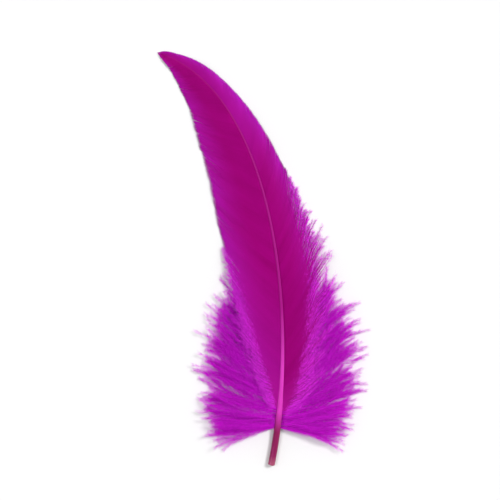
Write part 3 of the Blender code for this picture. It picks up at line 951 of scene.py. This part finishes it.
def horn_finish(settings):
    """Glossy dyed horn: pale at the cut, crimson on the barrel and pink along the rachis, lighter near
    its base by the dye and a painted highlight.
    """
    nodes = Nodes("dyed_horn")
    along, around = nodes.value("along"), nodes.value("around")
    share = nodes.math("DIVIDE", along, SHAFT_LENGTH)
    # The rachis's base colour is partly the dye and partly a painted highlight on the lower rachis.
    colours = (
        settings.cut_colour, settings.cut_colour, settings.barrel_colour, settings.barrel_colour,
        settings.rachis_base_dye_and_highlight_colour, settings.rachis_base_dye_and_highlight_colour, settings.rachis_colour,
        settings.vane_colour)
    length_colour = nodes.ramp(share, list(zip(HORN_STOPS, colours)))
    broad = nodes.streaks(along, around, HORN_STREAKS)
    fibres = nodes.streaks(along, around, HORN_FIBRES)
    dark = nodes.math("ADD", broad, nodes.math("SUBTRACT", fibres, HORN_DARK_START))
    dark = nodes.math("MULTIPLY", dark, HORN_DARK_SHARE)
    streaked = nodes.mix(dark, length_colour, opaque(settings.barrel_colour))
    colour = nodes.mix(nodes.value("inside"), streaked, opaque(settings.hollow_colour))
    roughness = nodes.weighted((fibres, share), HORN_ROUGHENING)
    roughness = nodes.math("ADD", roughness, HORN_ROUGHNESS)
    nodes.set(
        nodes.shader, Base_Color=colour, Roughness=roughness, Specular_IOR_Level=0.28,
        Specular_Tint=opaque(HORN_GLEAM))
    nodes.bump(fibres, strength=0.30, distance=0.08 * MM)
    nodes.let_light_through(colour, share=0.22)
    return nodes.material


def vane_finish(settings):
    """Satin barbs: a tone for each barb and clump, streaks along it, violet towards the edge that is
    partly the dye and partly a painted highlight, and ribs where barbules lie.
    """
    nodes = Nodes("satin_barbs")
    along, across, tone = nodes.value("along"), nodes.value("across"), nodes.value("tone")
    broad = nodes.streaks(along, across, BARB_STREAKS)
    fine = nodes.streaks(along, across, BARB_FINE_STREAKS)
    share = nodes.weighted((broad, fine, tone), BARB_WEIGHTS)
    share = nodes.math("SUBTRACT", share, BARB_DEEPENING)
    dyed = nodes.mix(share, opaque(settings.vane_deep_colour), opaque(settings.vane_colour))
    # Lighter violet towards the barb ends: partly the dye, partly a painted highlight on the lit edges.
    violet_and_highlight = nodes.math("POWER", along, EDGE_VIOLET_AND_HIGHLIGHT_POWER)
    violet_and_highlight = nodes.math("MULTIPLY", violet_and_highlight, nodes.math("ADD", broad, EDGE_VIOLET_AND_HIGHLIGHT_START))
    # Adds the violet bands along the vane: partly the dye, partly a painted highlight on lit bands.
    violet_and_highlight = nodes.math("ADD", violet_and_highlight, nodes.value("violet_and_highlight"))
    edged = nodes.mix(violet_and_highlight, dyed, opaque(settings.vane_edge_violet_and_highlight_colour))
    colour = nodes.mix(nodes.value("loose"), edged, opaque(settings.down_colour))
    sheen = opaque(settings.sheen_colour)
    nodes.set(
        nodes.shader, Base_Color=colour, Roughness=0.5, Specular_IOR_Level=0.12, Specular_Tint=sheen,
        Sheen_Weight=0.10, Sheen_Roughness=0.4, Sheen_Tint=sheen)
    ribs = nodes.streaks(along, across, BARB_RIBS)
    nodes.bump(ribs, strength=0.35, distance=0.05 * MM)
    nodes.let_light_through(colour, share=0.18)
    return nodes.material


def down_finish(settings):
    """Matt fluff, a little lighter to the ends of the threads and different from lock to lock."""
    nodes = Nodes("dyed_fluff")
    spots = nodes.noise(nodes.object_place(), DOWN_SPOTS_SCALE)
    share = nodes.weighted((nodes.value("along"), nodes.value("tone"), spots), DOWN_WEIGHTS)
    colour = nodes.mix(share, opaque(settings.down_deep_colour), opaque(settings.down_colour))
    sheen = opaque(settings.sheen_colour)
    nodes.set(
        nodes.shader, Base_Color=colour, Roughness=0.7, Specular_IOR_Level=0.1, Specular_Tint=sheen,
        Sheen_Weight=0.7, Sheen_Roughness=0.5, Sheen_Tint=sheen)
    nodes.let_light_through(colour, share=0.70)
    return nodes.material


def floor_finish(settings):
    """Plain pale board with the faintest mottle."""
    nodes = Nodes("pale_board")
    mottle = nodes.noise(nodes.object_place(), FLOOR_MOTTLE_SCALE)
    floor = np.array(settings.floor_colour)
    colour = nodes.mix(mottle, opaque(floor), opaque(floor * FLOOR_MOTTLE_DARKENING))
    nodes.set(nodes.shader, Base_Color=colour, Roughness=0.9, Specular_IOR_Level=0.1)
    return nodes.material


# ---------------------------------------------------------------- settings and operators


def colour_setting(name, description, red, green, blue):
    return bpy.props.FloatVectorProperty(
        name=name, description=description, subtype="COLOR", size=3, min=0.0, max=1.0,
        default=from_screen(red, green, blue))


def length_setting(name, description, millimetres):
    return bpy.props.FloatProperty(
        name=name, description=description, default=millimetres * MM, min=0.0, unit="LENGTH", precision=6)


def count_setting(name, description, default, low, high):
    return bpy.props.IntProperty(name=name, description=description, default=default, min=low, max=high)


def number_setting(name, description, default):
    return bpy.props.FloatProperty(name=name, description=description, default=default)


class FeatherSettings(bpy.types.PropertyGroup):
    """What the panel can change: the barbs and barbules, the dye and the stage."""

    barbs_per_vane: count_setting("Barbs per vane", "Separate barbs along each vane", 430, 50, 1200)
    barb_thickness: length_setting("Barb thickness", "Thickness of a barb beside the shaft", 0.16)
    fringe_barbules: count_setting(
        "Fringe barbules", "Fluffy barbules for each millimetre of fluffy barbs", 148, 1, 400)
    threads_per_lock: count_setting("Threads per lock", "Downy threads in each lock", 12, 1, 20)
    barbules_per_thread: count_setting(
        "Barbules per thread", "Fine barbules on each downy thread", 180, 10, 600)
    barbule_length: length_setting("Barbule length", "Length of the longest barbules", 2.9)
    barbule_thickness: length_setting(
        "Barbule thickness", "Half the width of a barbule at its middle", 0.034)
    cut_colour: colour_setting("Cut end", "Horn at the cut end of the barrel", 178, 94, 119)
    barrel_colour: colour_setting("Barrel", "Horn of the bare barrel", 141, 33, 86)
    # Partly the dye, partly a painted highlight on the lower rachis.
    rachis_base_dye_and_highlight_colour: colour_setting("Rachis, base", "Horn between the lowest barbs", 243, 72, 219)
    rachis_colour: colour_setting("Rachis", "Horn between the vanes", 177, 10, 147)
    hollow_colour: colour_setting("Hollow", "Inside of the barrel", 133, 34, 77)
    vane_colour: colour_setting("Vane", "Dyed barbs", 174, 5, 133)
    vane_deep_colour: colour_setting("Vane, deep", "Dyed barbs in the deeper streaks", 151, 2, 108)
    # Partly the dye and partly a painted highlight on the lit ends of the barbs.
    vane_edge_violet_and_highlight_colour: colour_setting("Vane edge", "Barb ends at the edge", 188, 28, 190)
    down_colour: colour_setting("Down", "Dyed down", 253, 60, 255)
    down_deep_colour: colour_setting("Down, deep", "Dyed down near the shaft", 254, 46, 255)
    sheen_colour: colour_setting("Sheen", "Soft glow on barbs", 220, 80, 226)
    floor_colour: colour_setting("Floor", "Pale surface", 224, 224, 224)
    lean: bpy.props.FloatProperty(
        name="Lean", description="Angle by which the feather leans left in the view", subtype="ANGLE",
        default=math.radians(15.1))
    key_strength: number_setting("Key", "Strength of the key light", 2.35)
    fill_strength: number_setting("Fill", "Strength of the fill light", 0.9)
    wall_brightness: number_setting("Walls", "Brightness of the white walls", 1.3)
    ceiling_brightness: number_setting("Ceiling", "Brightness of the ceiling beside the walls' 1", 0.35)
    view_height: length_setting("View height", "Height of the floor that the camera takes in", 200.0)
    lens: number_setting("Lens", "Focal length of the camera, in mm", 85.0)


class FEATHER_OT_quill(bpy.types.Operator):
    """Make the hollow barrel and the rachis"""
    bl_idname = "feather.quill"
    bl_label = "Quill"

    def execute(self, context):
        settings = context.scene.goose_feather
        shape, values = quill_shape(np.random.default_rng(QUILL_SEED))
        add_piece("feather_quill", shape, values, "quill", horn_finish(settings))
        return {"FINISHED"}


class FEATHER_OT_vanes(bpy.types.Operator):
    """Make the barbs of the wide and the narrow vane"""
    bl_idname = "feather.vanes"
    bl_label = "Vanes"

    def execute(self, context):
        settings = context.scene.goose_feather
        finish = vane_finish(settings)
        for node, form in (("wide_vane", WIDE_VANE), ("narrow_vane", NARROW_VANE)):
            vane = Vane(settings.barbs_per_vane, **form)
            shape, values = vane_shape(vane, settings)
            add_piece(f"{node}_barbs", shape, values, node, finish)
        return {"FINISHED"}


class FEATHER_OT_down(bpy.types.Operator):
    """Make the down on both sides of the base"""
    bl_idname = "feather.down"
    bl_label = "Down"

    def execute(self, context):
        settings = context.scene.goose_feather
        finish = down_finish(settings)
        for node, side, fan, seed in DOWN_SIDES:
            for part, locks in DOWN_PARTS:
                shape, values = down_shape(side, fan, locks, settings, seed)
                add_piece(f"{node}_{part}", shape, values, node, finish)
        return {"FINISHED"}


def add_sun(name, lean, stand, spread, strength):
    """A far light, as soft as a disc this many degrees wide.

    It stands this far to the right, up the view and above, in a view turned by the lean.
    """
    right = Vector((math.cos(lean), -math.sin(lean), 0.0))
    up = Vector((math.sin(lean), math.cos(lean), 0.0))
    direction = stand[0] * right + stand[1] * up + stand[2] * Vector(UP)
    light = bpy.data.lights.new(name, "SUN")
    light.angle = math.radians(spread)
    light.energy = strength
    lamp = bpy.data.objects.new(name, light)
    lamp.rotation_euler = direction.to_track_quat("Z", "Y").to_euler()
    bpy.context.scene.collection.objects.link(lamp)


def white_walls(settings):
    """A world of white walls all round under a dimmer ceiling, so that glossy edges catch the walls."""
    world = bpy.data.worlds.new("white_walls")
    world.use_nodes = True
    tree = world.node_tree
    background = tree.nodes["Background"]
    direction = tree.nodes.new("ShaderNodeTexCoord").outputs["Generated"]
    height = tree.nodes.new("ShaderNodeSeparateXYZ")
    ramp = tree.nodes.new("ShaderNodeValToRGB")
    tree.links.new(direction, height.inputs[0])
    tree.links.new(height.outputs["Z"], ramp.inputs["Fac"])
    tree.links.new(ramp.outputs["Color"], background.inputs["Color"])
    background.inputs["Strength"].default_value = settings.wall_brightness
    wall, ceiling = ramp.color_ramp.elements
    wall.position, ceiling.position = WALLS_TO, CEILING_FROM
    wall.color = (1.0, 1.0, 1.0, 1.0)
    ceiling.color = opaque([settings.ceiling_brightness] * 3)
    return world


def add_camera(settings):
    """A camera straight above the frame's middle, turned so that the feather leans in its view."""
    camera = bpy.data.cameras.new("camera")
    camera.lens = settings.lens
    viewer = bpy.data.objects.new("camera", camera)
    middle = (FRAME_LOW + FRAME_HIGH) / 2
    distance = settings.view_height * settings.lens / camera.sensor_width
    viewer.location = (middle.x, middle.y, distance)
    viewer.rotation_euler = (0.0, 0.0, -settings.lean)
    bpy.context.scene.collection.objects.link(viewer)
    return viewer


class FEATHER_OT_stage(bpy.types.Operator):
    """Make the pale floor, the lights and the camera that looks down on the feather"""
    bl_idname = "feather.stage"
    bl_label = "Stage"

    def execute(self, context):
        scene, settings = context.scene, context.scene.goose_feather
        bpy.ops.mesh.primitive_plane_add(size=FLOOR_SIZE)
        floor = context.object
        floor.name = "floor"
        floor.data.materials.append(floor_finish(settings))
        add_sun("key", settings.lean, *KEY_SUN, settings.key_strength)
        add_sun("fill", settings.lean, *FILL_SUN, settings.fill_strength)
        scene.world = white_walls(settings)
        scene.camera = add_camera(settings)
        scene.view_settings.view_transform = "Standard"
        return {"FINISHED"}


class FEATHER_PT_panel(bpy.types.Panel):
    """Lists the feather's pieces and its settings"""
    bl_idname = "FEATHER_PT_panel"
    bl_label = "Goose Quill Feather"
    bl_space_type = "VIEW_3D"
    bl_region_type = "UI"
    bl_category = "Feather"

    def draw(self, context):
        for operator in OPERATORS:
            self.layout.operator(operator.bl_idname)
        for name in FeatherSettings.__annotations__:
            self.layout.prop(context.scene.goose_feather, name)


OPERATORS = (FEATHER_OT_quill, FEATHER_OT_vanes, FEATHER_OT_down, FEATHER_OT_stage)


def register():
    bpy.utils.register_class(FeatherSettings)
    bpy.types.Scene.goose_feather = bpy.props.PointerProperty(type=FeatherSettings)
    for operator in OPERATORS:
        bpy.utils.register_class(operator)
    bpy.utils.register_class(FEATHER_PT_panel)


def unregister():
    bpy.utils.unregister_class(FEATHER_PT_panel)
    for operator in reversed(OPERATORS):
        bpy.utils.unregister_class(operator)
    del bpy.types.Scene.goose_feather
    bpy.utils.unregister_class(FeatherSettings)


def main():
    register()
    bpy.ops.feather.quill()
    bpy.ops.feather.vanes()
    bpy.ops.feather.down()
    bpy.ops.feather.stage()


if __name__ == "__main__":
    main()
